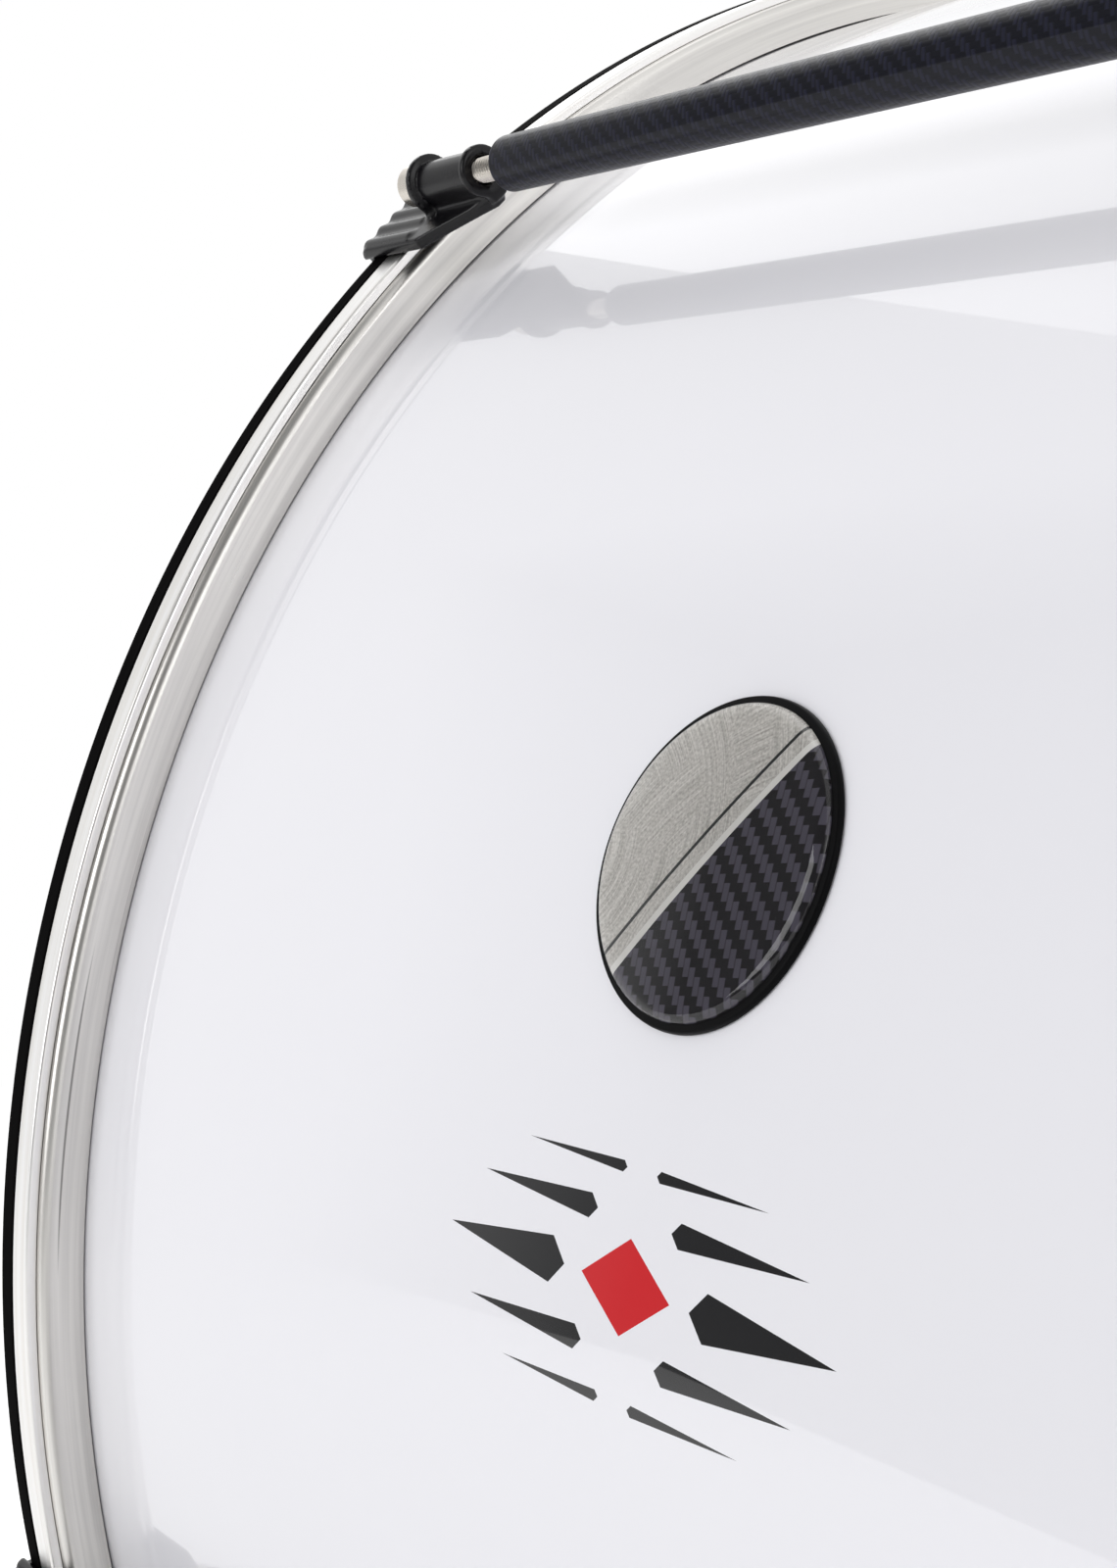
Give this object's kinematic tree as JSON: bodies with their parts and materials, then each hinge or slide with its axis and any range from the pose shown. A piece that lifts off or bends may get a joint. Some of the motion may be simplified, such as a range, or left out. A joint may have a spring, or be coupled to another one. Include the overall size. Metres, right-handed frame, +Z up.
{
  "type": "marching bass drum",
  "caption": "Wide white drum shell with a head on each side, held by slim aluminium hoops, black claws, socket screws and carbon tension tubes, with a round badge and strap rings.",
  "frame": {"origin": "on the ground under the middle of the drum", "axes": "+X along the drum's axis, towards the right head; +Z up; -Y is the front, with the badge"},
  "size_m": [0.4456, 0.709, 0.6952],
  "materials": {
    "white_lacquer": "gloss white lacquer",
    "birch": "sanded birch plywood",
    "head_film": "white coated film",
    "hoop_aluminium": "brushed along the hoop",
    "trim_rubber": "smooth black",
    "satin_black": "satin black powder coat",
    "carbon_tube": "woven carbon under clear coat",
    "insert_aluminium": "turned",
    "screw_steel": "bright zinc plated",
    "grommet_brass": "polished",
    "badge_print": "printed silver and carbon pattern",
    "clear_resin": "clear domed resin"
  },
  "bodies": {
    "drum": {"shell": "white_lacquer", "vent_grommet": "grommet_brass", "badge_plate": "badge_print", "badge_dome": "clear_resin", "reinforcement_ring_left": "birch", "reinforcement_ring_right": "birch", "drumhead_left": "head_film", "drumhead_right": "head_film", "flesh_hoop_left": "hoop_aluminium", "flesh_hoop_right": "hoop_aluminium", "counterhoop_left": "hoop_aluminium", "counterhoop_right": "hoop_aluminium", "rim_trim_left": "trim_rubber", "rim_trim_right": "trim_rubber", "tension_tube_1": "carbon_tube", "tension_tube_2": "carbon_tube", "tension_tube_3": "carbon_tube", "tension_tube_4": "carbon_tube", "tension_tube_5": "carbon_tube", "tension_tube_6": "carbon_tube", "claw_1_left": "satin_black", "claw_1_right": "satin_black", "claw_2_left": "satin_black", "claw_2_right": "satin_black", "claw_3_left": "satin_black", "claw_3_right": "satin_black", "claw_4_left": "satin_black", "claw_4_right": "satin_black", "claw_5_left": "satin_black", "claw_5_right": "satin_black", "claw_6_left": "satin_black", "claw_6_right": "satin_black", "tube_insert_1_left": "insert_aluminium", "tube_insert_1_right": "insert_aluminium", "tube_insert_2_left": "insert_aluminium", "tube_insert_2_right": "insert_aluminium", "tube_insert_3_left": "insert_aluminium", "tube_insert_3_right": "insert_aluminium", "tube_insert_4_left": "insert_aluminium", "tube_insert_4_right": "insert_aluminium", "tube_insert_5_left": "insert_aluminium", "tube_insert_5_right": "insert_aluminium", "tube_insert_6_left": "insert_aluminium", "tube_insert_6_right": "insert_aluminium", "strap_clamp_left": "screw_steel", "strap_clamp_right": "screw_steel"},
    "tension_screw_1_left": {"tension_screw_1_left": "screw_steel"},
    "tension_screw_1_right": {"tension_screw_1_right": "screw_steel"},
    "tension_screw_2_left": {"tension_screw_2_left": "screw_steel"},
    "tension_screw_2_right": {"tension_screw_2_right": "screw_steel"},
    "tension_screw_3_left": {"tension_screw_3_left": "screw_steel"},
    "tension_screw_3_right": {"tension_screw_3_right": "screw_steel"},
    "tension_screw_4_left": {"tension_screw_4_left": "screw_steel"},
    "tension_screw_4_right": {"tension_screw_4_right": "screw_steel"},
    "tension_screw_5_left": {"tension_screw_5_left": "screw_steel"},
    "tension_screw_5_right": {"tension_screw_5_right": "screw_steel"},
    "tension_screw_6_left": {"tension_screw_6_left": "screw_steel"},
    "tension_screw_6_right": {"tension_screw_6_right": "screw_steel"},
    "strap_ring_left": {"strap_ring_left": "screw_steel"},
    "strap_ring_right": {"strap_ring_right": "screw_steel"}
  },
  "joints": [
    {"name": "tension_screw_1_left_turn", "type": "hinge", "parent": "drum", "child": "tension_screw_1_left", "pos_m": [-0.1945, -0.24051, 0.60874], "axis": [1, 0, 0], "range_deg": [-720, 180]},
    {"name": "tension_screw_1_right_turn", "type": "hinge", "parent": "drum", "child": "tension_screw_1_right", "pos_m": [0.1945, -0.24051, 0.60874], "axis": [-1, 0, 0], "range_deg": [-720, 180]},
    {"name": "tension_screw_2_left_turn", "type": "hinge", "parent": "drum", "child": "tension_screw_2_left", "pos_m": [-0.1945, -0.34756, 0.26922], "axis": [1, 0, 0], "range_deg": [-720, 180]},
    {"name": "tension_screw_2_right_turn", "type": "hinge", "parent": "drum", "child": "tension_screw_2_right", "pos_m": [0.1945, -0.34756, 0.26922], "axis": [-1, 0, 0], "range_deg": [-720, 180]},
    {"name": "tension_screw_3_left_turn", "type": "hinge", "parent": "drum", "child": "tension_screw_3_left", "pos_m": [-0.1945, -0.10705, 0.00675], "axis": [1, 0, 0], "range_deg": [-720, 180]},
    {"name": "tension_screw_3_right_turn", "type": "hinge", "parent": "drum", "child": "tension_screw_3_right", "pos_m": [0.1945, -0.10705, 0.00675], "axis": [-1, 0, 0], "range_deg": [-720, 180]},
    {"name": "tension_screw_4_left_turn", "type": "hinge", "parent": "drum", "child": "tension_screw_4_left", "pos_m": [-0.1945, 0.24051, 0.0838], "axis": [1, 0, 0], "range_deg": [-720, 180]},
    {"name": "tension_screw_4_right_turn", "type": "hinge", "parent": "drum", "child": "tension_screw_4_right", "pos_m": [0.1945, 0.24051, 0.0838], "axis": [-1, 0, 0], "range_deg": [-720, 180]},
    {"name": "tension_screw_5_left_turn", "type": "hinge", "parent": "drum", "child": "tension_screw_5_left", "pos_m": [-0.1945, 0.34756, 0.42332], "axis": [1, 0, 0], "range_deg": [-720, 180]},
    {"name": "tension_screw_5_right_turn", "type": "hinge", "parent": "drum", "child": "tension_screw_5_right", "pos_m": [0.1945, 0.34756, 0.42332], "axis": [-1, 0, 0], "range_deg": [-720, 180]},
    {"name": "tension_screw_6_left_turn", "type": "hinge", "parent": "drum", "child": "tension_screw_6_left", "pos_m": [-0.1945, 0.10705, 0.68579], "axis": [1, 0, 0], "range_deg": [-720, 180]},
    {"name": "tension_screw_6_right_turn", "type": "hinge", "parent": "drum", "child": "tension_screw_6_right", "pos_m": [0.1945, 0.10705, 0.68579], "axis": [-1, 0, 0], "range_deg": [-720, 180]},
    {"name": "strap_ring_left_swing", "type": "hinge", "parent": "drum", "child": "strap_ring_left", "pos_m": [-0.11, 0.12088, 0.68143], "axis": [1, 0, 0], "range_deg": [-45, 195]},
    {"name": "strap_ring_right_swing", "type": "hinge", "parent": "drum", "child": "strap_ring_right", "pos_m": [0.11, 0.12088, 0.68143], "axis": [1, 0, 0], "range_deg": [-45, 195]}
  ]
}
